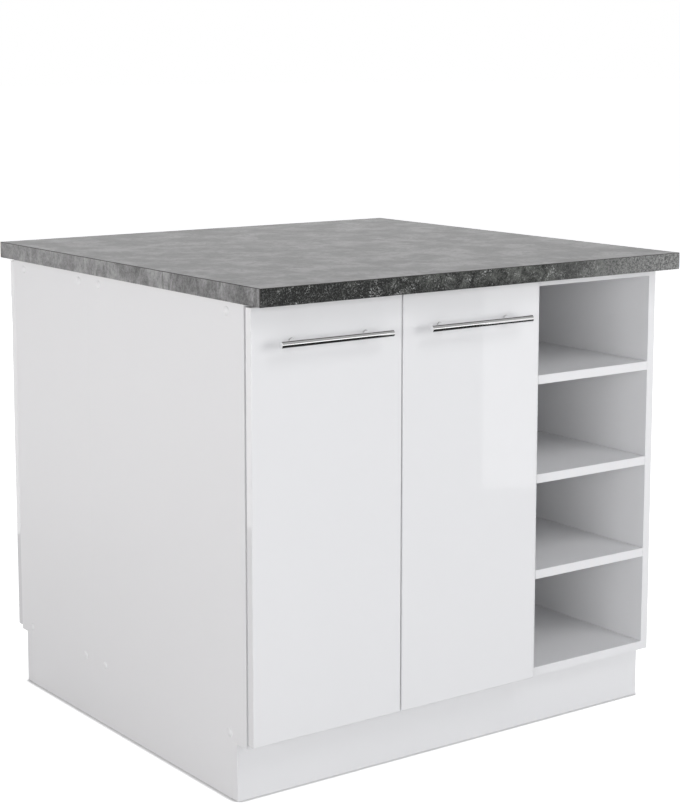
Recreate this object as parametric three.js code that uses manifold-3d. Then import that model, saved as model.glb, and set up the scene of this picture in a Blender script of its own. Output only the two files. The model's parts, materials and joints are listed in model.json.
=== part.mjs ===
// Kitchen island unit: a two-door base unit and an open shelf unit side by side,
// a shallow three-door unit behind them, and one worktop over all.
// Millimetres, +Z up. The front (two doors and open shelves) faces -Y.

import * as THREE from 'three';
import { mergeVertices } from 'three/addons/utils/BufferGeometryUtils.js';
import Module from 'manifold-3d';

const wasm = await Module();
wasm.setup();

// ---------------------------------------------------------------- driving dimensions

// Carcasses
const doorUnitWidth = 600;
const shelfUnitWidth = 300;
const frontSideDepth = 510;
const rearSideDepth = 290;
const toeHeight = 98;
const carcassHeight = 724;
const boardThickness = 16;
const backThickness = 3;

// Bottom boards and rails that sit inside a door unit's sides
const bottomRise = 6;
const railDrop = 8;
const frontRailWidth = 100;
const rearRailWidth = 80;

// Toe spaces and plinth boards
const frontToeRecess = 27.5;
const rearToeRecess = 20;
const plinthThickness = 16;

// Worktop
const worktopThickness = 30;
const worktopChamfer = 1;
const sideOverhang = 5;
const frontOverhang = 54.5;
const rearOverhang = 46;

// Shelves (rise of their upper faces above the upper face of their unit's bottom board)
const openShelfRises = [180, 355, 533.5];
const closedShelfRise = 348;
const shelfSideClearance = 0.5;
const shelfSetback = 20;

// Doors
const doorThickness = 16;
const doorBuffer = 2;
const doorReveal = 1.5;
const doorBottomRise = 6;
const doorTopGap = 4;
const doorsAcrossWideUnit = 2;

// Bar handles
const barDiameter = 12;
const barLength = 220;
const postDiameter = 10;
const postSpacing = 146;
const barStandoff = 26;
const handleDrop = 59;

// Concealed hinges
const hingeFromDoorEnd = 100;
const cupDiameter = 35;
const cupDepth = 11.5;
const cupWall = 1.6;
const cupInset = 22.5;
const cupClearance = 0.3;
const flangeThickness = 1.2;
const flangeHeight = 60;
const flangeWidth = 28;
const armHeight = 14;
const armReach = 66;
const armBody = 12;
const armNose = 13;
const armTipClearance = 0.5;
const plateThickness = 4;
const plateHeight = 52;
const plateDepth = 22;
const plateSetback = 26;

// Roundness of turned pieces
const barSides = 16;
const postSides = 12;
const cupSides = 20;

// ---------------------------------------------------------------- derived places

const carcassWidth = doorUnitWidth + shelfUnitWidth;
const carcassDepth = frontSideDepth + rearSideDepth;
const carcassTop = toeHeight + carcassHeight;
const frontToeDepth = frontToeRecess + plinthThickness;
const rearToeDepth = rearToeRecess + plinthThickness;
const doorFace = doorBuffer + doorThickness;
const handleReach = doorFace + barStandoff + barDiameter / 2;
const doorBottom = toeHeight + doorBottomRise;
const doorTop = carcassTop - doorTopGap;
const handleHeight = doorTop - handleDrop;

const closedBottom = [toeHeight + bottomRise, toeHeight + bottomRise + boardThickness];
const railSpan = [carcassTop - railDrop - boardThickness, carcassTop - railDrop];

const frontMost = -Math.max(frontOverhang, handleReach);
const rearMost = carcassDepth + Math.max(rearOverhang, handleReach);

// ---------------------------------------------------------------- materials

function finish(color, roughness, metalness = 0) {
  return () => new THREE.MeshStandardMaterial({ color, roughness, metalness });
}

const whiteBoard = finish(0xe4e4e4, 0.55);
const hardboard = finish(0xd8d8d6, 0.6);
const glossDoor = finish(0xf0f1f3, 0.12);
const stoneTop = finish(0x8f8f8c, 0.5);
const plinthBoard = finish(0xe2e2e2, 0.5);
const polishedSteel = finish(0xc9cccf, 0.18, 1);
const platedSteel = finish(0xb9bbbd, 0.35, 1);

// ---------------------------------------------------------------- geometry helpers

const island = new THREE.Group();
island.position.set(-carcassWidth / 2, -(frontMost + rearMost) / 2, 0);

function addMesh(name, geometry, material) {
  const mesh = new THREE.Mesh(geometry, material());
  mesh.name = name;
  island.add(mesh);
  return mesh;
}

function ordered(a, b) {
  return a < b ? [a, b] : [b, a];
}

// A box from its extent along each axis.
function boxGeometry(x, y, z) {
  const geometry = new THREE.BoxGeometry(x[1] - x[0], y[1] - y[0], z[1] - z[0]);
  geometry.translate((x[0] + x[1]) / 2, (y[0] + y[1]) / 2, (z[0] + z[1]) / 2);
  return geometry;
}

function addBoard(name, x, y, z, material) {
  return addMesh(name, boxGeometry(x, y, z), material);
}

// An outline in depth and height (Y, Z), extruded along X.
function sideProfile(points, x) {
  const shape = new THREE.Shape(points.map(([y, z]) => new THREE.Vector2(y, z)));
  const geometry = new THREE.ExtrudeGeometry(shape, { depth: x[1] - x[0], bevelEnabled: false });
  const basis = new THREE.Matrix4().makeBasis(
    new THREE.Vector3(0, 1, 0),
    new THREE.Vector3(0, 0, 1),
    new THREE.Vector3(1, 0, 0),
  );
  geometry.applyMatrix4(basis);
  geometry.translate(x[0], 0, 0);
  return geometry;
}

// An outline in plan (X, Y), extruded along Z.
function planProfile(points, z) {
  const shape = new THREE.Shape(points.map(([x, y]) => new THREE.Vector2(x, y)));
  const geometry = new THREE.ExtrudeGeometry(shape, { depth: z[1] - z[0], bevelEnabled: false });
  geometry.translate(0, 0, z[0]);
  return geometry;
}

// A cylinder along Y between two depths.
function rodAlongY(radius, x, y, z, sides) {
  const geometry = new THREE.CylinderGeometry(radius, radius, y[1] - y[0], sides);
  geometry.translate(x, (y[0] + y[1]) / 2, z);
  return geometry;
}

function toSolid(geometry) {
  const plain = geometry.clone();
  plain.deleteAttribute('normal');
  plain.deleteAttribute('uv');
  const merged = mergeVertices(plain, 1e-4);
  return new wasm.Manifold(new wasm.Mesh({
    numProp: 3,
    vertProperties: new Float32Array(merged.attributes.position.array),
    triVerts: new Uint32Array(merged.index.array),
  }));
}

function toGeometry(solid) {
  const mesh = solid.getMesh();
  const geometry = new THREE.BufferGeometry();
  geometry.setAttribute('position', new THREE.BufferAttribute(mesh.vertProperties, 3));
  geometry.setIndex(new THREE.BufferAttribute(mesh.triVerts, 1));
  geometry.computeVertexNormals();
  return geometry;
}

function join(geometries) {
  return toGeometry(geometries.map(toSolid).reduce((whole, piece) => whole.add(piece)));
}

function cut(geometry, holes) {
  return toGeometry(holes.map(toSolid).reduce((rest, hole) => rest.subtract(hole), toSolid(geometry)));
}

// ---------------------------------------------------------------- sides and dividers

// A unit's side runs down to the floor and is notched for the toe space.
function addFrontSide(name, left) {
  const outline = [
    [frontToeDepth, 0],
    [frontSideDepth, 0],
    [frontSideDepth, carcassTop],
    [0, carcassTop],
    [0, toeHeight],
    [frontToeDepth, toeHeight],
  ];
  addMesh(name, sideProfile(outline, [left, left + boardThickness]), whiteBoard);
}

function addRearSide(name, left) {
  const outline = [
    [frontSideDepth, 0],
    [carcassDepth - rearToeDepth, 0],
    [carcassDepth - rearToeDepth, toeHeight],
    [carcassDepth, toeHeight],
    [carcassDepth, carcassTop],
    [frontSideDepth, carcassTop],
  ];
  addMesh(name, sideProfile(outline, [left, left + boardThickness]), whiteBoard);
}

const rightSideLeft = carcassWidth - boardThickness;
addFrontSide('side_panel_front_left', 0);
addFrontSide('door_unit_inner_side', doorUnitWidth - boardThickness);
addFrontSide('shelf_unit_inner_side', doorUnitWidth);
addFrontSide('side_panel_front_right', rightSideLeft);
addRearSide('side_panel_rear_left', 0);
addRearSide('side_panel_rear_right', rightSideLeft);

// Insides of the three units, from side to side and from their front edges to their backs.
const doorUnitInside = [boardThickness, doorUnitWidth - boardThickness];
const shelfUnitInside = [doorUnitWidth + boardThickness, rightSideLeft];
const rearUnitInside = [boardThickness, rightSideLeft];
const frontDepth = [0, frontSideDepth - backThickness];
const rearDepth = [frontSideDepth + backThickness, carcassDepth];

const dividerSpan = [doorUnitWidth - boardThickness / 2, doorUnitWidth + boardThickness / 2];
addBoard('rear_divider', dividerSpan, rearDepth, [closedBottom[1], railSpan[0]], whiteBoard);

// ---------------------------------------------------------------- bottoms, tops and rails

const openBottom = [toeHeight, toeHeight + boardThickness];
const openTop = [carcassTop - boardThickness, carcassTop];
addBoard('door_unit_bottom', doorUnitInside, frontDepth, closedBottom, whiteBoard);
addBoard('shelf_unit_bottom', shelfUnitInside, frontDepth, openBottom, whiteBoard);
addBoard('rear_unit_bottom', rearUnitInside, rearDepth, closedBottom, whiteBoard);
addBoard('shelf_unit_top', shelfUnitInside, frontDepth, openTop, whiteBoard);

const frontRails = {
  door_unit_front_rail: [0, frontRailWidth],
  door_unit_back_rail: [frontDepth[1] - frontRailWidth, frontDepth[1]],
};
for (const [name, depth] of Object.entries(frontRails)) {
  addBoard(name, doorUnitInside, depth, railSpan, whiteBoard);
}

const rearRails = {
  rear_unit_inner_rail: [rearDepth[0], rearDepth[0] + rearRailWidth],
  rear_unit_outer_rail: [carcassDepth - rearRailWidth, carcassDepth],
};
for (const [name, depth] of Object.entries(rearRails)) {
  addBoard(name, rearUnitInside, depth, railSpan, whiteBoard);
}

// ---------------------------------------------------------------- thin backs

// The backs sit between the sides, flush with their far edges, so that the units stand back to back.
const backHeight = [toeHeight, carcassTop];
const frontBackDepth = [frontDepth[1], frontSideDepth];
const rearBackDepth = [frontSideDepth, rearDepth[0]];
addBoard('door_unit_back', doorUnitInside, frontBackDepth, backHeight, hardboard);
addBoard('shelf_unit_back', shelfUnitInside, frontBackDepth, backHeight, hardboard);
addBoard('rear_unit_back', rearUnitInside, rearBackDepth, backHeight, hardboard);

// ---------------------------------------------------------------- shelves

function addShelf(name, inside, depth, top) {
  const span = [inside[0] + shelfSideClearance, inside[1] - shelfSideClearance];
  addBoard(name, span, depth, [top - boardThickness, top], whiteBoard);
}

openShelfRises.forEach((rise, i) => {
  addShelf(`open_shelf_${i + 1}`, shelfUnitInside, frontDepth, openBottom[1] + rise);
});
const closedShelfTop = closedBottom[1] + closedShelfRise;
const rearShelfDepth = [rearDepth[0], carcassDepth - shelfSetback];
const rearWideInside = [boardThickness, dividerSpan[0]];
const rearNarrowInside = [dividerSpan[1], rightSideLeft];
addShelf('door_unit_shelf', doorUnitInside, [shelfSetback, frontDepth[1]], closedShelfTop);
addShelf('rear_shelf_wide', rearWideInside, rearShelfDepth, closedShelfTop);
addShelf('rear_shelf_narrow', rearNarrowInside, rearShelfDepth, closedShelfTop);

// ---------------------------------------------------------------- plinths

const plinthHeight = [0, toeHeight];
const frontPlinthDepth = [frontToeRecess, frontToeDepth];
const rearPlinthDepth = [carcassDepth - rearToeDepth, carcassDepth - rearToeRecess];
addBoard('plinth_door_unit', [0, doorUnitWidth], frontPlinthDepth, plinthHeight, plinthBoard);
addBoard('plinth_shelf_unit', [doorUnitWidth, carcassWidth], frontPlinthDepth, plinthHeight, plinthBoard);
addBoard('plinth_rear', [0, carcassWidth], rearPlinthDepth, plinthHeight, plinthBoard);

// ---------------------------------------------------------------- worktop

// The slab is grown from a smaller outline by its chamfer, so that all its edges are eased.
function worktopGeometry() {
  const width = carcassWidth + 2 * sideOverhang - 2 * worktopChamfer;
  const depth = carcassDepth + frontOverhang + rearOverhang - 2 * worktopChamfer;
  const left = worktopChamfer - sideOverhang;
  const front = worktopChamfer - frontOverhang;
  const outline = new THREE.Shape([
    new THREE.Vector2(left, front),
    new THREE.Vector2(left + width, front),
    new THREE.Vector2(left + width, front + depth),
    new THREE.Vector2(left, front + depth),
  ]);
  const geometry = new THREE.ExtrudeGeometry(outline, {
    depth: worktopThickness - 2 * worktopChamfer,
    bevelEnabled: true,
    bevelThickness: worktopChamfer,
    bevelSize: worktopChamfer,
    bevelSegments: 1,
  });
  geometry.translate(0, 0, carcassTop + worktopChamfer);
  return geometry;
}
addMesh('worktop', worktopGeometry(), stoneTop);

// ---------------------------------------------------------------- doors

const hingeHeights = {
  lower: doorBottom + hingeFromDoorEnd,
  upper: doorTop - hingeFromDoorEnd,
};

// Distances from a unit's front edge: outward is -1 at the front and +1 at the rear.
function depthRange(plane, outward, near, far) {
  return ordered(plane + outward * near, plane + outward * far);
}

// toward is +1 where the door runs from its hinged edge to +X, and -1 where it runs to -X.
function addDoor(name, span, plane, outward, toward, panelFace) {
  const x = [span[0] + doorReveal, span[1] - doorReveal];
  const hingedEdge = toward > 0 ? x[0] : x[1];
  const cupX = hingedEdge + toward * cupInset;
  const boreRadius = cupDiameter / 2 + cupClearance;
  const boreDepth = depthRange(plane, outward, 0, doorBuffer + cupDepth + cupClearance);
  const slab = boxGeometry(x, depthRange(plane, outward, doorBuffer, doorFace), [doorBottom, doorTop]);
  const bores = Object.values(hingeHeights).map(
    (height) => rodAlongY(boreRadius, cupX, boreDepth, height, cupSides),
  );
  addMesh(`${name}_door`, cut(slab, bores), glossDoor);
  addMesh(`${name}_handle`, handleGeometry((x[0] + x[1]) / 2, plane, outward), polishedSteel);
  for (const [level, height] of Object.entries(hingeHeights)) {
    addMesh(`${name}_hinge_cup_${level}`, cupGeometry(cupX, plane, outward, height), platedSteel);
    addMesh(
      `${name}_hinge_arm_${level}`,
      armGeometry(panelFace, cupX, plane, outward, toward, height),
      platedSteel,
    );
  }
}

// A round bar on two posts that stand on the door's face.
function handleGeometry(centre, plane, outward) {
  const axis = plane + outward * (doorFace + barStandoff);
  const bar = new THREE.CylinderGeometry(barDiameter / 2, barDiameter / 2, barLength, barSides);
  bar.rotateZ(Math.PI / 2);
  bar.translate(centre, axis, handleHeight);
  const postDepth = depthRange(plane, outward, doorFace, doorFace + barStandoff);
  const posts = [-1, 1].map((side) => rodAlongY(
    postDiameter / 2,
    centre + side * postSpacing / 2,
    postDepth,
    handleHeight,
    postSides,
  ));
  return join([bar, ...posts]);
}

// A pressed cup let into the door's back, with a flange screwed onto the back face.
function cupGeometry(x, plane, outward, z) {
  const outerRadius = cupDiameter / 2;
  const outer = depthRange(plane, outward, doorBuffer, doorBuffer + cupDepth);
  const flange = depthRange(plane, outward, doorBuffer - flangeThickness, doorBuffer);
  const hollow = depthRange(plane, outward, 0, doorBuffer + cupDepth - cupWall);
  const plate = boxGeometry(
    [x - flangeWidth / 2, x + flangeWidth / 2],
    flange,
    [z - flangeHeight / 2, z + flangeHeight / 2],
  );
  const collar = rodAlongY(outerRadius, x, flange, z, cupSides);
  const body = rodAlongY(outerRadius, x, outer, z, cupSides);
  return cut(join([plate, collar, body]), [rodAlongY(outerRadius - cupWall, x, hollow, z, cupSides)]);
}

// A cranked arm on a cross plate, on the unit's side or divider behind the hinged edge.
function armGeometry(panelFace, cupX, plane, outward, toward, z) {
  const across = (distance) => panelFace + toward * distance;
  const inward = (distance) => plane - outward * distance;
  const noseAcross = Math.abs(cupX - panelFace) + armBody / 2;
  const outline = [
    [across(0), inward(plateSetback)],
    [across(noseAcross - armBody), inward(armTipClearance)],
    [across(noseAcross), inward(armTipClearance)],
    [across(noseAcross), inward(armNose)],
    [across(armBody), inward(plateSetback)],
    [across(armBody), inward(armReach)],
    [across(0), inward(armReach)],
  ];
  const arm = planProfile(outline, [z - armHeight / 2, z + armHeight / 2]);
  const plate = boxGeometry(
    ordered(across(0), across(plateThickness)),
    ordered(inward(plateSetback), inward(plateSetback + plateDepth)),
    [z - plateHeight / 2, z + plateHeight / 2],
  );
  return join([arm, plate]);
}

const doorPitch = doorUnitWidth / doorsAcrossWideUnit;
addDoor('front_left', [0, doorPitch], 0, -1, 1, boardThickness);
addDoor('front_right', [doorUnitWidth - doorPitch, doorUnitWidth], 0, -1, -1, doorUnitWidth - boardThickness);
addDoor('rear_left', [0, doorPitch], carcassDepth, 1, 1, boardThickness);
addDoor('rear_middle', [doorUnitWidth - doorPitch, doorUnitWidth], carcassDepth, 1, -1, dividerSpan[0]);
addDoor('rear_right', [doorUnitWidth, carcassWidth], carcassDepth, 1, -1, rightSideLeft);

export default island;
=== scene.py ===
# %% [markdown]
# # Dressing a kitchen island
# The construction arrives as a frame of plain solids at their real size: boards, doors, handles and
# hinges. This lesson keeps every one of them in its place and gives the unit its looks: the stone
# decor of the worktop, the gloss of the doors, the chrome of the handles, and the fittings that
# show when a door opens. Everything is in metres. The unit stands on the floor, and its two doors
# and open shelves face -Y.

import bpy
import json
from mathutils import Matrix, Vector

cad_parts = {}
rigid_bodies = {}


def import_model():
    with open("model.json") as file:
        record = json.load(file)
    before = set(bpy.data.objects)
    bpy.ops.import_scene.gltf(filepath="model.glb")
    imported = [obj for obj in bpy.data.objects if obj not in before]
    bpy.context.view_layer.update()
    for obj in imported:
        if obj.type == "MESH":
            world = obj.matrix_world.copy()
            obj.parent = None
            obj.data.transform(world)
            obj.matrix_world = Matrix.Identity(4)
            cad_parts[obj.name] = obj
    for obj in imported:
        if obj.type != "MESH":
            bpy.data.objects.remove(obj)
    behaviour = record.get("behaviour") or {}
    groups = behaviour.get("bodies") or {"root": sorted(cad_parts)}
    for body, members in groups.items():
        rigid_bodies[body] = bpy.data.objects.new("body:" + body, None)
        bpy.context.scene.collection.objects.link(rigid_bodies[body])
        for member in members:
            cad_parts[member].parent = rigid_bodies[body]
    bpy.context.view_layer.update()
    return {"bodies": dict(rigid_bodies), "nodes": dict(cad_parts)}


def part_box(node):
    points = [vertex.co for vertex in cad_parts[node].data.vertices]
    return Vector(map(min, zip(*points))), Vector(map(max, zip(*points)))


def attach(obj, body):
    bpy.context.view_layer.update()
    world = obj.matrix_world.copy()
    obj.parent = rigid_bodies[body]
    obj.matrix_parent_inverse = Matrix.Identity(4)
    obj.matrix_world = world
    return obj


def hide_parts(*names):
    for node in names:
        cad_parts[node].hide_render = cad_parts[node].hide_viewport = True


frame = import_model()

# %% [markdown]
# ## The camera
# The picture was taken from the front left, a little above the worktop, with a long lens, and with
# the film moved down so that upright lines stay upright. A camera can copy that with a shift. Only
# part of the shift is taken here, and a small tilt does the rest, so that the same camera still
# frames the unit from every side.

# %% Camera
import math

import bmesh
import bpy
from mathutils import Matrix, Vector

CAMERA_PLACE = (-2.0391, -2.8531, 1.2092)
CAMERA_TURN = math.radians(35.859)
CAMERA_TILT = math.radians(8.164)
LENS_MM = 83.95
FILM_SHIFT = -0.10

bpy.ops.object.camera_add(
    location=CAMERA_PLACE, rotation=(math.pi / 2 - CAMERA_TILT, 0, -CAMERA_TURN)
)
camera = bpy.context.object
camera.data.lens = LENS_MM
camera.data.shift_y = FILM_SHIFT
bpy.context.scene.camera = camera
bpy.context.scene.view_settings.view_transform = "Standard"
print("camera: lens", LENS_MM, "mm")

# %% [markdown]
# ## Wires and recipes
# A material is a web of nodes. Adding each node by hand takes many lines, and the sum they stand
# for gets lost. Here a small class wraps a socket, so that `0.4 + 0.1 * grain` adds the Math nodes
# by itself, and one method adds any other node. A recipe is the node tree of one finish.

# %% Wires and recipes
class Wire:
    """The output of a node. Sums with numbers and other wires add Math nodes."""

    def __init__(self, recipe, socket):
        self.recipe = recipe
        self.socket = socket

    def math(self, operation, first, second):
        return self.recipe.node("ShaderNodeMath", {"operation": operation}, {0: first, 1: second})

    def __add__(self, other):
        return self.math("ADD", self, other)

    def __sub__(self, other):
        return self.math("SUBTRACT", self, other)

    def __rsub__(self, other):
        return self.math("SUBTRACT", other, self)

    def __mul__(self, other):
        return self.math("MULTIPLY", self, other)

    def __abs__(self):
        return self.math("ABSOLUTE", self, 0.0)

    __radd__ = __add__
    __rmul__ = __mul__

    def between(self, low, high):
        """0 below low, 1 above high, and a soft step from one to the other."""
        settings = {"interpolation_type": "SMOOTHSTEP"}
        sockets = {"Value": self, "From Min": low, "From Max": high}
        return self.recipe.node("ShaderNodeMapRange", settings, sockets)


class Recipe:
    """The node tree of one finish, of the floor or of the world."""

    def __init__(self, owner):
        self.owner = owner
        owner.use_nodes = True
        self.tree = owner.node_tree
        self.tree.nodes.clear()

    def node(self, kind, settings=None, sockets=None, output=0):
        node = self.tree.nodes.new(kind)
        for name, value in (settings or {}).items():
            setattr(node, name, value)
        for name, value in (sockets or {}).items():
            if isinstance(value, Wire):
                self.tree.links.new(value.socket, node.inputs[name])
            else:
                node.inputs[name].default_value = value
        return Wire(self, node.outputs[output]) if node.outputs else None

    def blend(self, factor, first, second):
        """A colour that runs from first to second as factor goes from 0 to 1."""
        # The Mix node has its colour sockets at 6 and 7, and its colour output at 2.
        sockets = {0: factor, 6: first, 7: second}
        return self.node("ShaderNodeMix", {"data_type": "RGBA"}, sockets, 2)


# %% [markdown]
# ## Greys as they are seen
# A screen shows a grey of 128 out of 255, but nodes reckon with light, where the same grey is 0.22.
# The colours of this unit are nearly all greys, so one function turns a grey as seen, with a little
# tint, into light.

# %% Greys
def light_of(level):
    """The amount of light in a screen level from 0 to 255."""
    share = level / 255
    return share / 12.92 if share <= 0.04045 else ((share + 0.055) / 1.055) ** 2.4


def grey(level, green=0, blue=0):
    """A colour for a socket: a screen grey with its green and blue moved a little."""
    return (light_of(level), light_of(level + green), light_of(level + blue), 1)


def even(light):
    """A colour for a socket: a plain grey of an amount of light."""
    return (light, light, light, 1)


print("grey 128 is", round(light_of(128), 3), "of white light")

# %% [markdown]
# ## The studio
# The picture is a packshot on pure white. Turning up the lamps until the floor burns out would also
# wash out the white doors. Instead the world and the floor answer differently to different rays.
# What lights the unit is a soft grey with a touch of blue. What the camera sees is white. What a
# mirror sees is grey above and dark below, as in a studio beyond the edge of the paper, so that a
# chromed bar gets its dark lines. The floor keeps a share of its real shading, which is white in
# the open and turns grey only where the unit keeps the light away. Right where the unit stands on
# it, an ambient occlusion node darkens the floor to the thin line of a contact shadow.

# %% World
SKY_LIGHT = 0.33
SKY_COLOR = (0.925, 0.945, 1, 1)
SKY_IN_MIRRORS = 0.42
WHITE = (1, 1, 1, 1)


def light_path(recipe, *rays):
    """1 for rays of these kinds, and 0 for all others."""
    total = sum(recipe.node("ShaderNodeLightPath", output=f"Is {ray} Ray") for ray in rays)
    return recipe.node("ShaderNodeClamp", sockets={"Value": total})


def by_ray(recipe, lighting, mirrored, seen):
    """One surface for the rays that light the unit, one for mirrors and one for the camera."""
    indirect = recipe.node(
        "ShaderNodeMixShader",
        sockets={0: light_path(recipe, "Glossy"), 1: lighting, 2: mirrored},
    )
    return recipe.node(
        "ShaderNodeMixShader",
        sockets={0: light_path(recipe, "Camera", "Transmission"), 1: indirect, 2: seen},
    )


world = bpy.data.worlds.new("studio")
bpy.context.scene.world = world
sky = Recipe(world)
soft = sky.node("ShaderNodeBackground", sockets={"Color": SKY_COLOR, "Strength": SKY_LIGHT})
mirrored = sky.node("ShaderNodeBackground", sockets={"Color": WHITE, "Strength": SKY_IN_MIRRORS})
bright = sky.node("ShaderNodeBackground", sockets={"Color": WHITE, "Strength": 1.0})
surroundings = by_ray(sky, soft, mirrored, bright)
sky.node("ShaderNodeOutputWorld", sockets={"Surface": surroundings})
print("world: sky light", SKY_LIGHT)

# %% Floor
FLOOR_SIZE = 120
FLOOR_BOUNCE = 0.8
FLOOR_IN_MIRRORS = 0.03
SHADOW_SHARE = 0.5
GLOW_SHARE = 0.87
CONTACT_REACH = 0.015
CONTACT_DEPTH = 0.85
CONTACT_STEP = (0.7, 0.84)
CONTACT_SAMPLES = 8

floor_paper = bpy.data.materials.new("floor_paper")
paper = Recipe(floor_paper)
bounce = paper.node("ShaderNodeBsdfDiffuse", sockets={"Color": even(FLOOR_BOUNCE)})
dim = paper.node("ShaderNodeEmission", sockets={"Color": WHITE, "Strength": FLOOR_IN_MIRRORS})
shaded = paper.node("ShaderNodeBsdfDiffuse", sockets={"Color": even(SHADOW_SHARE)})
openness = paper.node(
    "ShaderNodeAmbientOcclusion", {"samples": CONTACT_SAMPLES}, {"Distance": CONTACT_REACH}, "AO"
)
contact = paper.blend(openness.between(*CONTACT_STEP), even(1 - CONTACT_DEPTH), WHITE)
glow = paper.node("ShaderNodeEmission", sockets={"Color": contact, "Strength": GLOW_SHARE})
white_paper = paper.node("ShaderNodeAddShader", sockets={0: shaded, 1: glow})
surface = by_ray(paper, bounce, dim, white_paper)
paper.node("ShaderNodeOutputMaterial", sockets={"Surface": surface})

bpy.ops.object.select_all(action="DESELECT")
bpy.ops.mesh.primitive_plane_add(size=FLOOR_SIZE)
floor = bpy.context.object
floor.name = "floor"
floor.data.materials.append(floor_paper)
print("floor:", FLOOR_SIZE, "m wide")

# %% [markdown]
# Two wide lamps stand low in front, one on each side of the photographer. They look under the edge
# of the worktop, so that it throws no hard shadow on the doors. A third lights the left side, a
# small one high up reaches down onto the open shelves, and one overhead lights the worktop. Two
# more, at the unit's right and behind it, keep its right side and its rear doors as white as the
# front. Each place is given the way a studio plan gives it: how far round to the left of the front,
# how far up, and how far away.

# %% Lamps
UNIT_MIDDLE = Vector((0, 0, 0.45))
LAMP_DISTANCE = 6
TOP_LAMP_DISTANCE = 2.9
NEUTRAL = (1, 1, 1)
WARM = (1, 0.93, 0.87)
CREAM = (1, 0.975, 0.95)


def add_lamp(name, round_left, up, distance, size, power, color):
    """A rectangular area lamp that looks at the middle of the unit. Its angles are in degrees."""
    turn, rise = math.radians(round_left), math.radians(up)
    level_share = math.cos(rise)
    away = Vector((-math.sin(turn) * level_share, -math.cos(turn) * level_share, math.sin(rise)))
    bpy.ops.object.light_add(type="AREA", location=UNIT_MIDDLE + away * distance)
    lamp = bpy.context.object
    lamp.name = name
    lamp.rotation_euler = away.to_track_quat("Z", "Y").to_euler()
    lamp.data.shape = "RECTANGLE"
    lamp.data.size, lamp.data.size_y = size
    lamp.data.energy = power
    lamp.data.color = color
    lamp.visible_camera = False
    lamp.visible_glossy = False


add_lamp("right_front_lamp", -25, 8, LAMP_DISTANCE, (3.2, 3.0), 132, NEUTRAL)
add_lamp("left_front_lamp", 52, 8, LAMP_DISTANCE, (3.9, 1.8), 100, NEUTRAL)
add_lamp("side_lamp", 90, 12, LAMP_DISTANCE, (1.8, 1.8), 44, WARM)
add_lamp("shelf_lamp", -8, 46, LAMP_DISTANCE, (1.8, 1.8), 42, NEUTRAL)
add_lamp("top_lamp", -160, 74, TOP_LAMP_DISTANCE, (2.2, 2.2), 29, CREAM)
add_lamp("right_side_lamp", -95, 12, LAMP_DISTANCE, (1.8, 1.8), 60, NEUTRAL)
add_lamp("rear_lamp", -165, 8, LAMP_DISTANCE, (2.4, 1.8), 130, NEUTRAL)
print("lamps:", len(bpy.data.lights))

# %% [markdown]
# ### Light panels for the mirrors
# A gloss door only looks glossy where it mirrors something with an edge. Two light panels do that:
# one shows in the right door and one in the edges of the doors. A low white wall round the studio
# draws the bright line along the bars. All three are only seen by mirrors, and throw no light and
# no shadow on the unit.

# %% Light panels
RIGHT_PANEL_LIGHT = 0.95
LEFT_PANEL_LIGHT = 1.6
WALL_DISTANCE = 7
WALL_HEIGHT = 1.9
WALL_SIDES = 96
WALL_LIGHT = 1.55


def only_for_mirrors(piece, name, light):
    """Makes a stage piece glow for mirrors alone."""
    piece.name = name
    finish = bpy.data.materials.new(name)
    recipe = Recipe(finish)
    lit = recipe.node("ShaderNodeEmission", sockets={"Color": WHITE, "Strength": light})
    recipe.node("ShaderNodeOutputMaterial", sockets={"Surface": lit})
    piece.data.materials.append(finish)
    for rays in ("camera", "diffuse", "transmission", "volume_scatter", "shadow"):
        setattr(piece, f"visible_{rays}", False)


def light_panel(name, place, size, turn, light):
    """An upright panel, turned about the vertical by some degrees."""
    bpy.ops.object.select_all(action="DESELECT")
    upright = (math.pi / 2, 0, math.radians(turn))
    bpy.ops.mesh.primitive_plane_add(size=1, location=place, rotation=upright)
    panel = bpy.context.object
    panel.scale = (*size, 1)
    only_for_mirrors(panel, name, light)


light_panel(
    "panel_right", place=(1.426, -1.147, 0.619), size=(1.2, 0.962), turn=215.9,
    light=RIGHT_PANEL_LIGHT,
)
light_panel(
    "panel_left", place=(-1.13, 1.14, 0.398), size=(1.0, 0.72), turn=29.7,
    light=LEFT_PANEL_LIGHT,
)

bpy.ops.object.select_all(action="DESELECT")
bpy.ops.mesh.primitive_cylinder_add(
    vertices=WALL_SIDES, radius=WALL_DISTANCE, depth=WALL_HEIGHT, end_fill_type="NOTHING",
    location=(0, 0, WALL_HEIGHT / 2),
)
only_for_mirrors(bpy.context.object, "studio_wall", WALL_LIGHT)
print("light panels: 2, and a wall", WALL_DISTANCE, "m away")

# %% [markdown]
# ## Finishes
# Every finish reads Object coordinates. A piece keeps its place in its mesh, so these are simply
# metres in the room, and a pattern runs on from one board to the next as it would on boards cut
# from one sheet.

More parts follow.
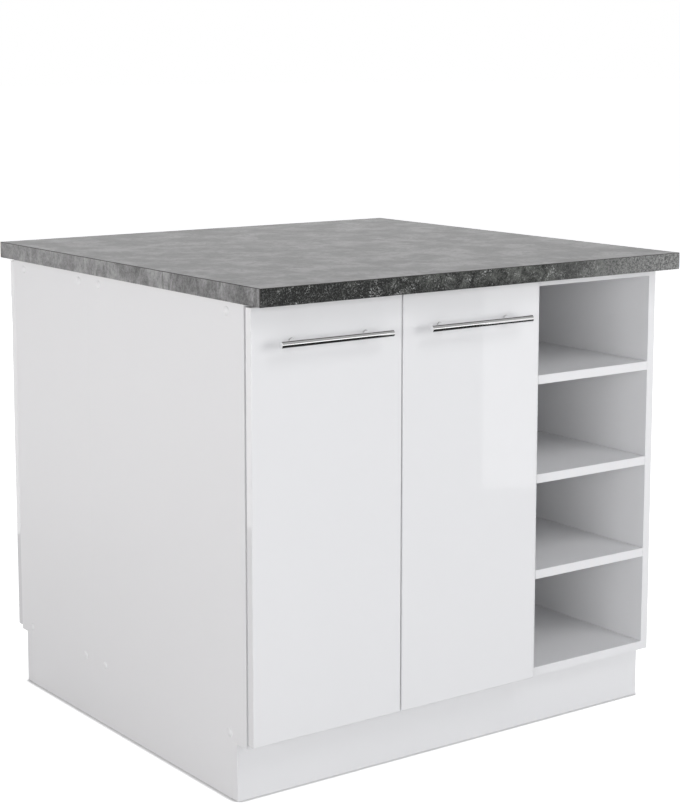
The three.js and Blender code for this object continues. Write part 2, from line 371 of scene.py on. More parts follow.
# %% Finish helpers
class Finish(Recipe):
    """A material for the unit, with the few patterns that its surfaces share."""

    def __init__(self, name):
        super().__init__(bpy.data.materials.new(name))
        self.place = self.node("ShaderNodeTexCoord", output="Object")

    def stretched(self, *scale):
        """The place with each axis stretched by its own factor."""
        sockets = {0: self.place, 1: scale}
        return self.node("ShaderNodeVectorMath", {"operation": "MULTIPLY"}, sockets)

    def noise(self, scale, detail=2.0, rough=0.5, warp=0.0, place=None):
        sockets = {
            "Vector": place or self.place,
            "Scale": scale,
            "Detail": detail,
            "Roughness": rough,
            "Distortion": warp,
        }
        return self.node("ShaderNodeTexNoise", sockets=sockets, output="Fac")

    def axis(self, name):
        return self.node("ShaderNodeSeparateXYZ", sockets={0: self.place}, output=name)

    def done(self, color, roughness, relief=None, depth=0.0, **plain):
        """Ends the recipe. relief is a height that varies by depth metres."""
        sockets = {"Base Color": color, "Roughness": roughness, **plain}
        if relief is not None:
            bumps = {"Height": relief, "Distance": depth, "Strength": 1.0}
            sockets["Normal"] = self.node("ShaderNodeBump", sockets=bumps)
        surface = self.node("ShaderNodeBsdfPrincipled", sockets=sockets)
        self.node("ShaderNodeOutputMaterial", sockets={"Surface": surface})
        return self.owner


# %% [markdown]
# ### White boards
# The carcass is chipboard faced with white melamine. It is hardly ever one flat white: the sheet
# has a very faint cloud in it, and the press leaves a fine pearl grain that breaks up the light.
# Its sawn edges are closed with a plastic band, which is never quite the same white. The gloss
# doors are smoother, with the slow ripple of a gloss film. Their side faces get a whiter film, as
# painted light that stands in for the bright reflection those faces catch.

# %% White finishes
PEARL = {"Specular IOR Level": 0.3}
PEARL_DEPTH = 0.00003
RIPPLE_DEPTH = 0.00002
BAND_STEP = (0.8, 0.95)


def melamine(name, level, rough, grain_scale=900, band=None):
    """Melamine of a grey level. band is the axis and the grey level of its edge band."""
    finish = Finish(name)
    cloud = finish.noise(2.5, 3)
    grain = finish.noise(grain_scale, 2, 0.6)
    color = finish.blend(cloud, grey(level - 1, 0, 1), grey(level + 1, 0, 1))
    if band:
        axis, band_level = band
        facing_way = finish.node("ShaderNodeNewGeometry", output="Normal")
        along = finish.node("ShaderNodeSeparateXYZ", sockets={0: facing_way}, output=axis)
        color = finish.blend(abs(along).between(*BAND_STEP), color, grey(band_level, 0, 1))
    return finish.done(color, rough + 0.12 * (grain - 0.5), grain, PEARL_DEPTH, **PEARL)


def gloss_film(name, level):
    finish = Finish(name)
    cloud = finish.noise(1.8, 2)
    ripple = finish.noise(9, 1)
    color = finish.blend(cloud, grey(level - 1, 0, 1), grey(level + 1, 0, 1))
    return finish.done(color, 0.02 + 0.015 * cloud, ripple, RIPPLE_DEPTH)


board_white = melamine("board_white", 235, 0.5, band=("Y", 226))
plinth_white = melamine("plinth_white", 226, 0.4, band=("X", 236))
door_gloss = gloss_film("door_gloss", 230)
# Painted light: the doors' side faces get this whiter film, in place of the reflection they catch.
door_edge_gloss = gloss_film("door_edge_gloss", 236)
door_back_white = melamine("door_back_white", 234, 0.42)
cap_white = melamine("cap_white", 237, 0.3, grain_scale=300)
print("white finishes:", board_white.name, plinth_white.name, door_gloss.name)

# %% [markdown]
# ### Stone decor
# The worktop is laminate with a printed stone. Seen up close the print is built in layers, and so
# is this recipe: wide soft clouds, finer veins, pale wisps in places, and a fine grain over all.
# The strips on its edges carry their own prints. The long edges are black slate with pale flecks
# that crowd together in places, and towards one end they turn to a mottled olive grey. The short
# edges are mid grey with slanting strokes.

# %% Stone decor
DULL = {"Specular IOR Level": 0.15}
PRINT_DEPTH = 0.00006
PAPER_DEPTH = 0.00005


def ridges(value, low):
    """Thin lines along the middle level of a noise."""
    return (1 - abs(2 * value - 1)).between(low, 1.0)


def stone_top():
    finish = Finish("stone_top")
    clouds = finish.noise(9, 5, 0.6, 0.5)
    veins = finish.noise(60, 8, 0.76, 0.8).between(0.34, 0.72)
    threads = ridges(finish.noise(38, 8, 0.72, 0.8), 0.72)
    wisps = threads * finish.noise(13, 4, 0.6).between(0.4, 0.66)
    grain = finish.noise(300, 4, 0.8)
    share = 0.28 * clouds + 0.3 * veins + 0.5 * wisps + 0.36 * grain
    color = finish.blend(share.between(0.1, 1.05), grey(143), grey(178))
    return finish.done(color, 0.5 + 0.1 * clouds, grain, PRINT_DEPTH, **DULL)


def stone_long_edge():
    finish = Finish("stone_long_edge")
    along = finish.axis("X")
    patches = (finish.noise(24, 6, 0.72, 0.8) + 0.3 * along).between(0.4, 0.72)
    ground = finish.blend(patches, grey(36, 1, 0), grey(98, 2, -2))
    crowds = finish.noise(34, 5, 0.7, 1.4).between(0.5, 0.66)
    flecks = finish.noise(340, 5, 0.9).between(0.51, 0.61) * (0.16 + 0.64 * crowds)
    flecked = finish.blend(flecks, ground, grey(200, 1, -1))
    spots = finish.noise(190, 6, 0.9).between(0.4, 0.6)
    mottle = finish.blend(spots, grey(74, 1, 0), grey(156, 0, -1))
    color = finish.blend(along.between(0.08, 0.46) * 0.9, flecked, mottle)
    return finish.done(color, 0.5, flecks, PRINT_DEPTH, **DULL)


def stone_short_edge():
    finish = Finish("stone_short_edge")
    across = finish.axis("Y").between(-0.5, 0.5)
    clouds = finish.noise(30, 6, 0.7, 0.9).between(0.3, 0.7)
    slant = {"Vector": finish.place, "Rotation": (0.5, 0, 0), "Scale": (1, 1, 0.3)}
    slanted = finish.node("ShaderNodeMapping", sockets=slant)
    threads = ridges(finish.noise(44, 5, 0.65, 0.8, slanted), 0.7)
    strokes = threads * finish.noise(16, 2).between(0.45, 0.62)
    grain = finish.noise(260, 5, 0.85).between(0.36, 0.64)
    share = 0.36 * clouds + 0.4 * strokes + 0.3 * grain
    dark = finish.blend(across, grey(72), grey(108))
    pale = finish.blend(across, grey(172), grey(184))
    return finish.done(finish.blend(share, dark, pale), 0.5, grain, PRINT_DEPTH, **DULL)


def backing_paper():
    finish = Finish("backing_paper")
    fibres = finish.noise(260, 4, 0.7, place=finish.stretched(0.2, 1, 1))
    color = finish.blend(fibres, grey(92, -1, -4), grey(112, -1, -4))
    return finish.done(color, 0.7, fibres, PAPER_DEPTH)


def laminate_core():
    finish = Finish("laminate_core")
    haze = finish.noise(200, 3)
    return finish.done(finish.blend(haze, grey(50, -1, -3), grey(66, -1, -3)), 0.6 + 0.1 * haze)


worktop_print = stone_top()
long_edge_print = stone_long_edge()
short_edge_print = stone_short_edge()
underside_paper = backing_paper()
core_line = laminate_core()
print("stone finishes:", worktop_print.name, long_edge_print.name, short_edge_print.name)

# %% [markdown]
# ### Hardboard, metal and plastic
# The thin backs are hardboard with a white print over a faintly fibrous face. Handles are chromed
# tube: a mirror with very fine lengthwise polish marks. Hinges are nickel-plated sheet steel, which
# is duller, and the doors close on small buffers of soft plastic.

# %% Hardboard, metal and plastic
FIBRE_DEPTH = 0.00006
POLISH_DEPTH = 0.000004


def hardboard():
    finish = Finish("hardboard_white")
    fibres = finish.noise(180, 5, 0.65)
    color = finish.blend(fibres, grey(222, -1, -3), grey(232, -1, -3))
    return finish.done(color, 0.58 + 0.1 * fibres, fibres, FIBRE_DEPTH)


def metal(name, dark, light, rough, scratch):
    """Plated steel, with fine marks drawn out along X."""
    finish = Finish(name)
    marks = finish.noise(500, 3, 0.6, place=finish.stretched(0.04, 1, 1))
    color = finish.blend(marks, grey(dark), grey(light, 0, 1))
    return finish.done(color, rough + scratch * marks, marks, POLISH_DEPTH, Metallic=1.0)


def soft_plastic():
    finish = Finish("buffer_plastic")
    haze = finish.noise(600, 2)
    color = finish.blend(haze, grey(214), grey(228))
    return finish.done(color, 0.35 + 0.1 * haze)


back_hardboard = hardboard()
chrome = metal("chrome", 236, 244, 0.025, 0.03)
nickel = metal("nickel", 188, 205, 0.22, 0.14)
screw_zinc = metal("screw_zinc", 196, 212, 0.26, 0.1)
buffer_plastic = soft_plastic()
print("metals:", chrome.name, nickel.name, screw_zinc.name)

# %% [markdown]
# ## Boards
# The boards of the frame have the right shape already, so they stay. A sawn and banded board never
# has a knife edge, though: the band is rounded by less than half a millimetre, and that thin round
# is what catches the light. The plinth boards are rounded by a millimetre, so that the joint of the
# front two shows as a fine line. A Weld modifier joins the loose triangles, and a Bevel modifier
# eases every edge.

# %% Boards
BOARD_EASE = 0.0003
PLINTH_EASE = 0.0011
HARDBOARD_EASE = 0.0002
SHARP_ANGLE = math.radians(40)
TOUCHING = 0.00001


def ease_live(node, width):
    """Rounds a frame node's edges with live modifiers, and leaves its mesh alone."""
    weld = node.modifiers.new("join_triangles", "WELD")
    weld.merge_threshold = TOUCHING
    bevel = node.modifiers.new("eased_edges", "BEVEL")
    bevel.width = width
    bevel.segments = 2
    bevel.limit_method = "ANGLE"
    bevel.angle_limit = SHARP_ANGLE


def dress_node(name, material, width):
    node = frame["nodes"][name]
    node.data.materials.clear()
    node.data.materials.append(material)
    ease_live(node, width)


backs = [name for name in frame["nodes"] if name.endswith("_back")]
plinths = [name for name in frame["nodes"] if name.startswith("plinth")]
moving = ("_door", "_handle")
boards = [
    name
    for name in frame["nodes"]
    if name not in backs + plinths + ["worktop"]
    and not name.endswith(moving)
    and "_hinge_" not in name
]
for name in boards:
    dress_node(name, board_white, BOARD_EASE)
for name in plinths:
    dress_node(name, plinth_white, PLINTH_EASE)
for name in backs:
    dress_node(name, back_hardboard, HARDBOARD_EASE)
print("boards:", len(boards), "plinths:", len(plinths), "backs:", len(backs))

# %% [markdown]
# ## Working as by hand
# The new pieces start from primitives and are shaped in edit mode. Faces and edges are picked by
# their place or by the way they look, as a hand would pick them with the mouse. These few helpers
# do the picking, put a finished piece's place into its mesh, and apply modifiers.

# %% Modelling helpers
MOSTLY = 0.9


def select_only(piece):
    bpy.ops.object.select_all(action="DESELECT")
    piece.select_set(True)
    bpy.context.view_layer.objects.active = piece


def settle(piece, name):
    """Names a new primitive and moves its place, turn and scale into its mesh."""
    piece.name = name
    piece.data.name = name
    select_only(piece)
    bpy.ops.object.transform_apply(location=True, rotation=True, scale=True)
    return piece


def block(name, low, high):
    """A cube stretched from one corner to the other."""
    low, high = Vector(low), Vector(high)
    bpy.ops.object.select_all(action="DESELECT")
    bpy.ops.mesh.primitive_cube_add(size=1, location=(low + high) / 2)
    bpy.context.object.scale = high - low
    return settle(bpy.context.object, name)


def rod(name, radius, start, end, sides=48):
    """A cylinder from one point to another."""
    start, end = Vector(start), Vector(end)
    turn = (end - start).to_track_quat("Z", "Y").to_euler()
    bpy.ops.object.select_all(action="DESELECT")
    bpy.ops.mesh.primitive_cylinder_add(
        vertices=sides, radius=radius, depth=(end - start).length,
        location=(start + end) / 2, rotation=turn,
    )
    return settle(bpy.context.object, name)


def pick(piece, kind, test):
    """Opens a piece in edit mode with only the faces or edges that pass a test selected."""
    select_only(piece)
    bpy.ops.object.mode_set(mode="EDIT")
    bpy.ops.mesh.select_mode(type=kind)
    bpy.ops.mesh.select_all(action="DESELECT")
    mesh = bmesh.from_edit_mesh(piece.data)
    found = [part for part in (mesh.faces if kind == "FACE" else mesh.edges) if test(part)]
    for part in found:
        part.select_set(True)
    bmesh.update_edit_mesh(piece.data)


def leave():
    bpy.ops.object.mode_set(mode="OBJECT")


def middle(edge):
    return (edge.verts[0].co + edge.verts[1].co) / 2


def round_edges(piece, width, test, segments=3):
    """Bevels the edges that pass a test."""
    pick(piece, "EDGE", test)
    bpy.ops.mesh.bevel(offset=width, segments=segments, affect="EDGES", clamp_overlap=True)
    leave()


def sharp(edge):
    """True for an edge where two faces meet at an angle."""
    return len(edge.link_faces) == 2 and edge.calc_face_angle() > SHARP_ANGLE


def runs_along(axis):
    """A test for the edges of a block that run along x, y or z."""
    return lambda edge: abs(getattr(edge.verts[0].co - edge.verts[1].co, axis)) > TOUCHING


def top_rim(height):
    """A test for the sharp edges at the top of a piece that stands this high on the floor."""
    return lambda edge: sharp(edge) and middle(edge).z > MOSTLY * height


def looks(face, way):
    """True for a face that looks this way, or very nearly."""
    return face.normal.dot(Vector(way)) > MOSTLY


def combine(piece, other, operation):
    """Joins another piece to this one or cuts it out, and uses it up."""
    modifier = piece.modifiers.new("combine", "BOOLEAN")
    modifier.operation = operation
    modifier.object = other
    modifier.solver = "EXACT"
    select_only(piece)
    bpy.ops.object.modifier_apply(modifier=modifier.name)
    bpy.data.objects.remove(other)


def merge_close(piece, distance):
    """Merges vertices that a cut has left almost on top of each other."""
    pick(piece, "FACE", lambda face: True)
    bpy.ops.mesh.remove_doubles(threshold=distance)
    leave()


def bring_in(piece, others):
    """Makes other pieces part of this one as they are, each still a closed shell."""
    select_only(piece)
    for other in others:
        other.select_set(True)
    bpy.ops.object.join()


def copy_of(pattern, name, matrix):
    """A copy with a mesh of its own, moved by a matrix. A mirrored one is turned outward again."""
    piece = pattern.copy()
    piece.data = pattern.data.copy()
    bpy.context.scene.collection.objects.link(piece)
    piece.name = name
    piece.data.name = name
    piece.data.transform(matrix)
    if matrix.determinant() < 0:
        piece.data.flip_normals()
    return piece


def smooth(piece, degrees=35, flat_over=1.0):
    """Smooths the rounds. Faces over flat_over square metres stay flat, to mirror truly."""
    select_only(piece)
    bpy.ops.object.shade_smooth_by_angle(angle=math.radians(degrees))
    for face in piece.data.polygons:
        if face.area > flat_over:
            face.use_smooth = False


def coat(piece, *materials):
    """Gives a piece its materials. The first covers it, and the others wait for faces."""
    piece.data.materials.clear()
    for material in materials:
        piece.data.materials.append(material)


def coat_faces(piece, index, test):
    for face in piece.data.polygons:
        if test(face):
            face.material_index = index


# %% [markdown]
# ## The worktop
# A laminate worktop is a chipboard slab pressed between a printed sheet on top and a backing paper
# below, with its four sides closed by glued strips. It could be one box with four materials, but
# then the fine joint between sheet and strip would be missing. So the slab stops short of the
# sides, and four strips with rounded corners go round it. Where a strip's corner is milled round,
# its dark core shows as a thin line. The front and back strips run through, and the side strips sit
# between them.

# %% Worktop
STRIP = 0.0012
STRIP_ROUND = 0.0009
SHEET_ROUND = 0.0002
SLANTING = 0.98
BROAD = 0.005

top_low, top_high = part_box("worktop")


def strip(name, low, high, inner_side, print_material):
    """A strip glued to a side of the slab, with all but its glued edges rounded."""
    piece = block(f"worktop_strip_{name}", low, high)

    def outer(edge):
        return not any(looks(face, inner_side) for face in edge.link_faces)

    def milled(face):
        slanting = max(abs(part) for part in face.normal) < SLANTING
        return slanting and face.center.z > top_low.z + STRIP_ROUND

    round_edges(piece, STRIP_ROUND, outer)
    smooth(piece, flat_over=BROAD)
    coat(piece, print_material, core_line)
    coat_faces(piece, 1, milled)
    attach(piece, "carcass")


def sheet_edge(edge):
    return sharp(edge) and middle(edge).z > top_high.z - STRIP


slab_low = top_low + Vector((STRIP, STRIP, 0))
slab_high = top_high - Vector((STRIP, STRIP, 0))
slab = block("worktop_slab", slab_low, slab_high)
round_edges(slab, SHEET_ROUND, sheet_edge, segments=2)
smooth(slab, flat_over=BROAD)
coat(slab, worktop_print, underside_paper)
coat_faces(slab, 1, lambda face: looks(face, (0, 0, -1)))
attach(slab, "carcass")
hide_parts("worktop")

strip("front", top_low, (top_high.x, slab_low.y, top_high.z), (0, 1, 0), long_edge_print)
strip("rear", (top_low.x, slab_high.y, top_low.z), top_high, (0, -1, 0), long_edge_print)
strip(
    "left", (top_low.x, slab_low.y, top_low.z), (slab_low.x, slab_high.y, top_high.z),
    (1, 0, 0), short_edge_print,
)
strip(
    "right", (slab_high.x, slab_low.y, top_low.z), (top_high.x, slab_high.y, top_high.z),
    (-1, 0, 0), short_edge_print,
)
print("worktop:", [round(size, 4) for size in top_high - top_low])

# %% [markdown]
# ## One door, made once
# All five doors are alike, apart from which side they hang on and which way they face. So each
# fitting is made once, in a door's own frame: x runs from the hinged edge to the free edge, y runs
# into the unit from the front of its sides, and z is the height. A small function then seats a copy
# on each real door.

# %% The doors' own frames
class Door:
    """Where a door of the frame stands, and how its own frame lies in the room."""

    def __init__(self, name):
        self.name = name
        self.body = f"{name}_leaf"
        low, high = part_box(f"{name}_door")
        cup_low, cup_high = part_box(f"{name}_hinge_cup_lower")
        self.across = -1 if cup_low.x + cup_high.x > low.x + high.x else 1
        self.inward = -1 if low.y > 0 else 1
        hinged_x = low.x if self.across > 0 else high.x
        front_of_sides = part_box("side_panel_front_left")[0].y
        rear_of_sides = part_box("side_panel_rear_left")[1].y
        face_y = front_of_sides if self.inward > 0 else rear_of_sides
        place = Matrix.Translation((hinged_x, face_y, 0))
        self.matrix = place @ Matrix.Diagonal((self.across, self.inward, 1, 1))

    def box(self, part):
        """A node's corners in the door's own frame."""
        corners = [self.matrix.inverted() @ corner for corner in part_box(f"{self.name}_{part}")]
        low = Vector([min(values) for values in zip(*corners)])
        high = Vector([max(values) for values in zip(*corners)])
        return low, high


def seat(pattern, door, part, body, raise_by=0.0):
    """Seats a copy of a pattern at a door, in place of the node of that part if there is one."""
    node = f"{door.name}_{part}"
    piece = copy_of(pattern, f"{node}_made", door.matrix @ Matrix.Translation((0, 0, raise_by)))
    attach(piece, body)
    if node in frame["nodes"]:
        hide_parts(node)


doors = [Door(name.removesuffix("_leaf")) for name in frame["bodies"] if name.endswith("_leaf")]
first = next(door for door in doors if door.name == "front_left")
panel_low, panel_high = first.box("door")
print("doors:", [(door.name, door.across, door.inward) for door in doors])

# %% [markdown]
# ### The door panel
# A gloss door is a board wrapped in film, with edges rounded by a millimetre and a plain white
# back. Two round pockets in the back take the hinge cups. A cube is bevelled for the edges, and the
# pockets are cut with cylinders, the way a drill would make them.

# %% Door panel
DOOR_ROUND = 0.0013
BACK_RIM = 0.0005
CUP_RADIUS = 0.0175
POCKET_GAP = 0.0002
LEVELS = ("lower", "upper")

panel = block("door_pattern", panel_low, panel_high)
round_edges(panel, DOOR_ROUND, sharp)
for level in LEVELS:
    cup_low, cup_high = first.box(f"hinge_cup_{level}")
    cup_middle = (cup_low + cup_high) / 2
    start = Vector((cup_middle.x, cup_low.y - POCKET_GAP, cup_middle.z))
    end = Vector((cup_middle.x, panel_high.y + DOOR_ROUND, cup_middle.z))
    combine(panel, rod("drill", CUP_RADIUS + POCKET_GAP, start, end, sides=64), "DIFFERENCE")
smooth(panel, flat_over=BROAD)
coat(panel, door_gloss, door_back_white, door_edge_gloss)
coat_faces(panel, 1, lambda face: looks(face, (0, 1, 0)) or face.center.y > panel_high.y - BACK_RIM)
# Painted light: the side faces take the whiter film, which stands in for their bright reflection.
coat_faces(panel, 2, lambda face: abs(face.normal.x) > MOSTLY and face.area > BROAD)
for door in doors:
    seat(panel, door, "door", door.body)
bpy.data.objects.remove(panel)
print("door panel:", [round(size, 4) for size in panel_high - panel_low])

# %% [markdown]
# ### The bar handle
# The handle is a straight chromed tube with closed ends, on two short posts. The tube and its posts
# are cylinders. The rims of the tube are bevelled, because a sharp rim would look cut from paper,
# and the posts get a slightly wider foot where they stand on the door.

# %% Bar handle
BAR_RIM = 0.0009
FOOT_HEIGHT = 0.002
FOOT_RIM = 0.4 * FOOT_HEIGHT
POST_RADIUS = 0.005
POST_SPACING = 0.146
SIDES = (-1, 1)


def off_the_door(edge):
    return sharp(edge) and middle(edge).y < bar_high.y - TOUCHING


bar_low, bar_high = first.box("handle")
bar_radius = (bar_high.z - bar_low.z) / 2
bar_middle = (bar_low + bar_high) / 2
bar_axis = bar_low.y + bar_radius
bar_start = Vector((bar_low.x, bar_axis, bar_middle.z))
bar_end = Vector((bar_high.x, bar_axis, bar_middle.z))
handle = rod("handle_pattern", bar_radius, bar_start, bar_end, sides=96)
round_edges(handle, BAR_RIM, sharp, segments=4)
post_places = [bar_middle.x + side * POST_SPACING / 2 for side in SIDES]
for post_x in post_places:
    on_door = Vector((post_x, bar_high.y, bar_middle.z))
    post = rod("post", POST_RADIUS, on_door, (post_x, bar_axis, bar_middle.z))
    foot = rod("foot", bar_radius, on_door, on_door - Vector((0, FOOT_HEIGHT, 0)), sides=64)
    round_edges(foot, FOOT_RIM, off_the_door)
    combine(post, foot, "UNION")
    combine(handle, post, "UNION")
smooth(handle, degrees=30)
coat(handle, chrome)
for door in doors:
    seat(handle, door, "handle", door.body)
bpy.data.objects.remove(handle)
print("handle: bar radius", round(bar_radius, 4), "length", round(bar_high.x - bar_low.x, 3))

# %% [markdown]
# ### Screws
# Every screw in the unit is a small pan head with a cross in it. It is modelled once, standing on
# the floor of the room, in two sizes. A matrix then turns each copy to the way its screw faces.

# %% Screw patterns
HEAD_ROUND = 0.55
CROSS_LENGTH = 0.55
CROSS_WIDTH = 0.13
CROSS_FLOOR = 0.4


def screw_head(radius, height):
    """A pan head standing up from the origin, with a cross recess."""
    head = rod("screw_pattern", radius, (0, 0, 0), (0, 0, height), sides=32)
    round_edges(head, HEAD_ROUND * height, top_rim(height), segments=4)
    long, short = CROSS_LENGTH * radius, CROSS_WIDTH * radius
    for reach_x, reach_y in ((long, short), (short, long)):
        low = (-reach_x, -reach_y, CROSS_FLOOR * height)
        slot = block("slot", low, (reach_x, reach_y, 2 * height))
        combine(head, slot, "DIFFERENCE")
    smooth(head, degrees=40)
    coat(head, screw_zinc)
    return head


def facing(point, direction):
    """The matrix that moves a pattern from the origin to a point, with its top in a direction."""
    turn = Vector(direction).to_track_quat("Z", "Y").to_matrix().to_4x4()
    return Matrix.Translation(Vector(point)) @ turn


flat_screw = screw_head(radius=0.0034, height=0.0007)
pan_screw = screw_head(radius=0.004, height=0.0015)
print("screws:", len(flat_screw.data.polygons), "faces each")

# %% [markdown]
# ### The hinge cup
# The cup of a concealed hinge is pressed from steel sheet: a flange with round corners, and a pot
# with a soft rim and a round bottom. The pot is a cylinder joined to the flange and hollowed by a
# second one, whose far edge is rounded first, so that the cut leaves a round bottom. Two pins cross
# it, on which the hinge turns. A cut can leave vertices almost on top of each other, and merging
# them keeps the mesh clean for the next bevel.

# %% Hinge cup
CUP_WALL = 0.0016
FLANGE_CORNER = 0.006
POT_ROUND = 0.0025
HOLLOW_ROUND = 0.002
HOLLOW_END = 0.002
CUP_MERGE = 0.00005
RIM_ROUND = 0.0004
CUP_SCREW_RISE = 0.0235
PIN_RADIUS = 0.0013
PIN_OFFSETS = (-0.006, 0.004)
PIN_DEPTH = 0.0045


def level_of(door, part):
    """A part's box in the door's frame, brought down to height 0, and the height it came from."""
    low, high = door.box(part)
    height = (low.z + high.z) / 2
    down = Vector((0, 0, height))
    return low - down, high - down, height


cup_low, cup_high, _ = level_of(first, "hinge_cup_lower")
cup_x = (cup_low.x + cup_high.x) / 2
back_face = panel_high.y


def at_bottom(edge):
    return sharp(edge) and middle(edge).y < back_face - HOLLOW_ROUND


def at_rim(edge):
    return sharp(edge) and all(abs(vert.co.y - cup_high.y) < TOUCHING for vert in edge.verts)


cup = block("cup_pattern", (cup_low.x, back_face, cup_low.z), cup_high)
round_edges(cup, FLANGE_CORNER, runs_along("y"), segments=5)
pot = rod("pot", CUP_RADIUS, (cup_x, cup_low.y, 0), (cup_x, cup_high.y, 0), sides=64)
round_edges(pot, POT_ROUND, at_bottom, segments=4)
combine(cup, pot, "UNION")
inner = CUP_RADIUS - CUP_WALL
hollow = rod("hollow", inner, (cup_x, cup_low.y + CUP_WALL, 0), (cup_x, HOLLOW_END, 0), sides=64)
round_edges(hollow, HOLLOW_ROUND, at_bottom, segments=4)
combine(cup, hollow, "DIFFERENCE")
merge_close(cup, CUP_MERGE)
round_edges(cup, RIM_ROUND, at_rim, segments=2)
merge_close(cup, TOUCHING)
pins = []
for offset in PIN_OFFSETS:
    reach = math.sqrt(inner ** 2 - offset ** 2) + CUP_WALL / 3
    across, depth = cup_x + offset, back_face - PIN_DEPTH
    pins.append(rod("pin", PIN_RADIUS, (across, depth, -reach), (across, depth, reach), sides=20))
for piece in [cup] + pins:
    coat(piece, nickel)
cup_screws = [
    copy_of(flat_screw, "cup_screw", facing((cup_x, cup_high.y, side * CUP_SCREW_RISE), (0, 1, 0)))
    for side in SIDES
]
bring_in(cup, pins + cup_screws)
smooth(cup, degrees=40)
for door in doors:
    for level in LEVELS:
        height = level_of(door, f"hinge_cup_{level}")[2]
        seat(cup, door, f"hinge_cup_{level}", door.body, height)
bpy.data.objects.remove(cup)
print("hinge cups:", len(doors) * len(LEVELS))

# %% [markdown]
# ### The hinge arm
# The arm reaches from a cross plate on the unit's side to the cup, with a crank in it. A block is
# the straight part, and its front face is pulled out twice: aside and forward for the crank, then
# straight for the nose. Most doors lie over a whole side and need a small crank. One shares the
# divider with its neighbour and needs a large one, so the arm is a function of the room that the
# frame gives it.

# %% Hinge arm
ARM_BODY = 0.012
ARM_HALF_HEIGHT = 0.007
ARM_ROUND = 0.0014
ARM_MERGE = 0.00002
CRANK_TO = 0.013
PLATE_THICK = 0.004
PLATE_FROM = 0.026
PLATE_TO = 0.048
PLATE_CORNER = 0.005
PLATE_ROUND = 0.0005
PLATE_SCREW_RISE = 0.017
ARM_SCREWS = (0.034, 0.056)
RECESS_RADIUS = 0.0038
RECESS_DEPTH = 0.001


def hinge_arm(low, high):
    """An arm with its plate, between the corners that the frame gives it."""
    face = low.x
    outer = face + ARM_BODY

    def plate_rim(edge):
        return sharp(edge) and middle(edge).x > face + MOSTLY * PLATE_THICK

    arm_end = (outer, high.y, ARM_HALF_HEIGHT)
    arm = block("arm_pattern", (face, PLATE_FROM, -ARM_HALF_HEIGHT), arm_end)
    pick(arm, "FACE", lambda part: looks(part, (0, -1, 0)))
    aside = high.x - face - ARM_BODY
    for step in ((aside, CRANK_TO - PLATE_FROM, 0), (0, low.y - CRANK_TO, 0)):
        bpy.ops.mesh.extrude_region_move(TRANSFORM_OT_translate={"value": step})
    leave()
    round_edges(arm, ARM_ROUND, sharp)
    plate = block("plate", (face, PLATE_FROM, low.z), (face + PLATE_THICK, PLATE_TO, high.z))
    round_edges(plate, PLATE_CORNER, runs_along("x"), segments=5)
    round_edges(plate, PLATE_ROUND, plate_rim, segments=2)
    combine(arm, plate, "UNION")
    screws = []
    for place in ARM_SCREWS:
        sunk = (outer - RECESS_DEPTH, place, 0)
        recess = rod("recess", RECESS_RADIUS, sunk, (outer + RECESS_DEPTH, place, 0), sides=32)
        combine(arm, recess, "DIFFERENCE")
        screws.append(copy_of(flat_screw, "arm_screw", facing(sunk, (1, 0, 0))))
    merge_close(arm, ARM_MERGE)
    coat(arm, nickel)
    plate_middle = (PLATE_FROM + PLATE_TO) / 2
    for side in SIDES:
        point = (face + PLATE_THICK, plate_middle, side * PLATE_SCREW_RISE)
        screws.append(copy_of(flat_screw, "plate_screw", facing(point, (1, 0, 0))))
    bring_in(arm, screws)
    smooth(arm, degrees=40)
    return arm


arm_patterns = {}
for door in doors:
    for level in LEVELS:
        arm_low, arm_high, height = level_of(door, f"hinge_arm_{level}")
        crank = round(arm_high.x - arm_low.x, 4)
        if crank not in arm_patterns:
            arm_patterns[crank] = hinge_arm(arm_low, arm_high)
        seat(arm_patterns[crank], door, f"hinge_arm_{level}", "carcass", height)
for pattern in arm_patterns.values():
    bpy.data.objects.remove(pattern)
print("hinge arms:", len(doors) * len(LEVELS), "with cranks for", sorted(arm_patterns))

# %% [markdown]
# ### On the backs of the doors
# Each post of a handle is held by a screw from behind, and two soft buffers near the free edge meet
# the edges of the unit's bottom board and rail, so that the door shuts quietly.

# %% Handle screws and buffers
BUFFER_RADIUS = 0.004
BUFFER_THICK = 0.0018
BUFFER_ROUND = 0.0011
BUFFER_INSET = 0.015

buffer = rod("buffer_pattern", BUFFER_RADIUS, (0, 0, 0), (0, 0, BUFFER_THICK), sides=32)
round_edges(buffer, BUFFER_ROUND, top_rim(BUFFER_THICK), segments=4)
smooth(buffer, degrees=40)
coat(buffer, buffer_plastic)
unit_bottom_low, unit_bottom_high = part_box("door_unit_bottom")
rail_low, rail_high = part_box("door_unit_front_rail")
buffer_heights = [(unit_bottom_low.z + unit_bottom_high.z) / 2, (rail_low.z + rail_high.z) / 2]
for door in doors:
    free_edge = door.box("door")[1].x
    bar_low, bar_high = door.box("handle")
    bar_middle = (bar_low + bar_high) / 2
    inward = door.matrix.to_3x3() @ Vector((0, 1, 0))
    spots = []
    for side in SIDES:
        post_x = bar_middle.x + side * POST_SPACING / 2
        spots.append((pan_screw, "handle_screw", post_x, bar_middle.z, "handle_steel"))
    for height in buffer_heights:
        spots.append((buffer, "buffer", free_edge - BUFFER_INSET, height, "gloss_front"))
    for number, (pattern, kind, across, height, slot) in enumerate(spots):
        point = door.matrix @ Vector((across, back_face, height))
        piece = copy_of(pattern, f"{door.name}_{kind}_{number}", facing(point, inward))
        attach(piece, door.body)
print("fittings on the doors' backs:", len(spots) * len(doors))

# %% [markdown]
# ### Cover caps
# The sides are fixed by screws through their outer faces, and each screw is hidden by a white
# plastic cap, a flat dome. A ball is squashed to the height of the cap, and the half that would lie
# in the board is cut away.

# %% Cover caps
CAP_RADIUS = 0.0075
CAP_RISE = 0.0026
CAP_DEPTHS = (0.05, 0.469, 0.542, 0.759)
CAP_HEIGHTS = (0.112, 0.806)

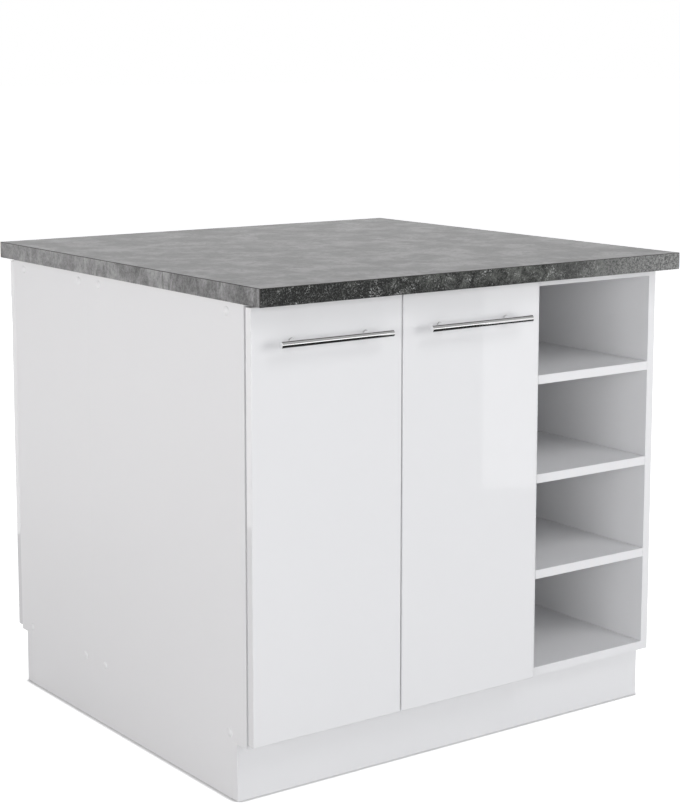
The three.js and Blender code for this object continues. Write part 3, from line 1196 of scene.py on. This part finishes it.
bpy.ops.object.select_all(action="DESELECT")
bpy.ops.mesh.primitive_uv_sphere_add(segments=32, ring_count=16, radius=1)
cap = bpy.context.object
cap.scale = (CAP_RADIUS, CAP_RADIUS, CAP_RISE)
settle(cap, "cap_pattern")
combine(cap, block("board", (-1, -1, -1), (1, 1, 0)), "DIFFERENCE")
smooth(cap, degrees=40)
coat(cap, cap_white)
left_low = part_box("side_panel_front_left")[0]
right_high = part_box("side_panel_front_right")[1]
for name, face, way in (("left", left_low.x, -1), ("right", right_high.x, 1)):
    for column, depth in enumerate(CAP_DEPTHS):
        for row, height in enumerate(CAP_HEIGHTS):
            point = (face, left_low.y + depth, height)
            piece = copy_of(cap, f"cap_{name}_{column}_{row}", facing(point, (way, 0, 0)))
            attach(piece, "carcass")
bpy.data.objects.remove(cap)
print("cover caps:", 2 * len(CAP_DEPTHS) * len(CAP_HEIGHTS))

# %% [markdown]
# ### Shelf pins and rail screws
# A loose shelf lies on four steel pins that stick out of the sides just below it. The worktop is
# held by screws that go up through the rails.

# %% Shelf pins and rail screws
SHELF_PIN_RADIUS = 0.0025
SHELF_PIN_LENGTH = 0.008
SHELF_PIN_RIM = 0.0005
SHELF_PIN_INSET = 0.05
SHELF_PLAY = 0.0005

pin = rod("pin_pattern", SHELF_PIN_RADIUS, (0, 0, 0), (0, 0, SHELF_PIN_LENGTH), sides=24)
round_edges(pin, SHELF_PIN_RIM, top_rim(SHELF_PIN_LENGTH))
smooth(pin, degrees=40)
coat(pin, screw_zinc)


def fit_to_carcass(pattern, name, point, direction):
    """Puts a copy of a pattern on the carcass."""
    piece = copy_of(pattern, name, facing(point, direction))
    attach(piece, "carcass")


for shelf in ("door_unit_shelf", "rear_shelf_wide", "rear_shelf_narrow"):
    low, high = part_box(shelf)
    ends = (("left", low.x - SHELF_PLAY, 1), ("right", high.x + SHELF_PLAY, -1))
    rows = (("front", low.y + SHELF_PIN_INSET), ("back", high.y - SHELF_PIN_INSET))
    for end, face, way in ends:
        for row, depth in rows:
            point = (face, depth, low.z - SHELF_PIN_RADIUS)
            fit_to_carcass(pin, f"{shelf}_pin_{end}_{row}", point, (way, 0, 0))

rails = [name for name in frame["nodes"] if name.endswith("_rail")]
for rail in rails:
    low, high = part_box(rail)
    for side, end in zip(SIDES, ("left", "right")):
        across = (low.x + high.x) / 2 + side * (high.x - low.x) / 3
        point = (across, (low.y + high.y) / 2, low.z)
        fit_to_carcass(pan_screw, f"{rail}_screw_{end}", point, (0, 0, -1))
for pattern in (pin, flat_screw, pan_screw, buffer):
    bpy.data.objects.remove(pattern)
print("pins and screws fitted, rails:", len(rails))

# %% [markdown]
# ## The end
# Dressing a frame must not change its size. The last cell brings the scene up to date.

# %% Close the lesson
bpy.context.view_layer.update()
import json
